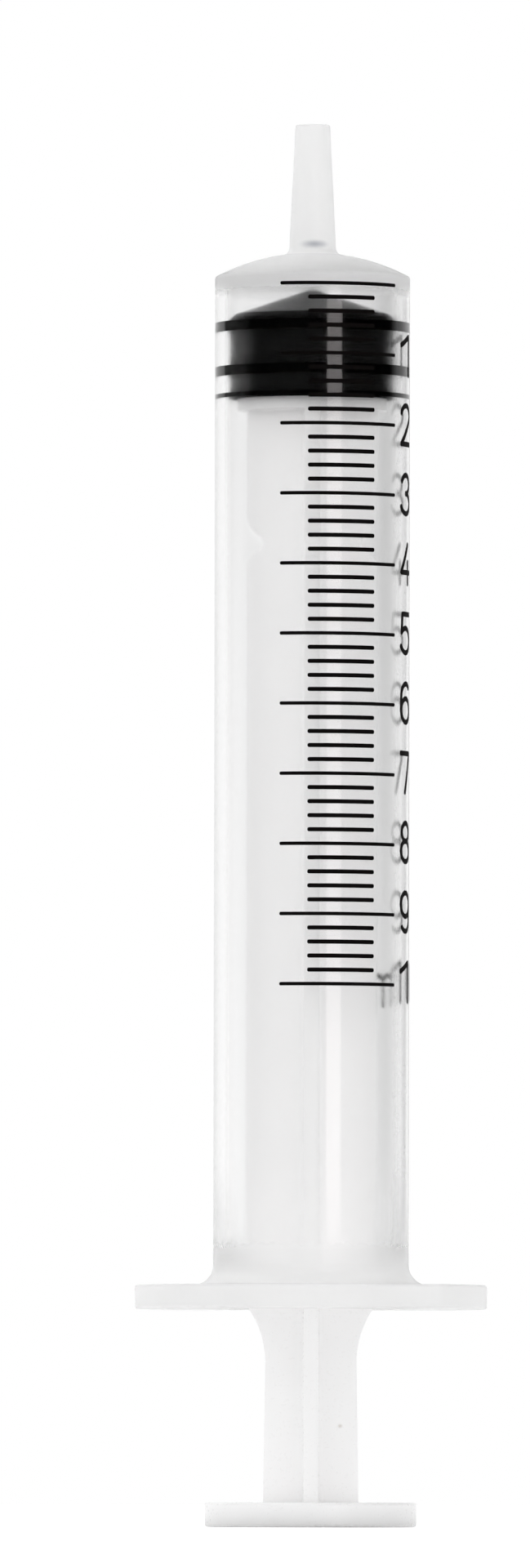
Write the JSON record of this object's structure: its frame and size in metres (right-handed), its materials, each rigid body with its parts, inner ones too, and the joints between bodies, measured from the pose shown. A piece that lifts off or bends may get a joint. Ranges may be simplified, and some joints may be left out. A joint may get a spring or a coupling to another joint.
{
  "type": "slip tip syringe",
  "caption": "Disposable slip tip syringe standing on its thumb rest: clear barrel with a finger flange and printed scale, black rubber stopper and ribbed plunger rod.",
  "frame": {"origin": "centre of the thumb rest's face, which the syringe stands on", "axes": "+Z along the common axis from the thumb rest to the nozzle, +X along the finger flange's width, -Y towards the picture's camera"},
  "size_m": [0.03, 0.021, 0.12],
  "materials": {
    "barrel_polypropylene": "clear injection moulded polypropylene, polished tool",
    "rod_polypropylene": "natural milky injection moulded polypropylene, satin tool",
    "stopper_rubber": "black moulded synthetic rubber, wetted with silicone oil"
  },
  "bodies": {
    "rod": {"plunger_rod": "rod_polypropylene"},
    "seal": {"stopper": "stopper_rubber"},
    "cylinder": {"barrel": "barrel_polypropylene"}
  },
  "joints": [
    {"name": "rod_swivel", "type": "hinge", "parent": "rod", "child": "seal", "pos_m": [0, 0, 0.09638], "axis": [0, 0, 1], "continuous": true},
    {"name": "plunger_stroke", "type": "slide", "parent": "seal", "child": "cylinder", "axis": [0, 0, 1], "range_m": [-0.0026, 0.0709]}
  ]
}
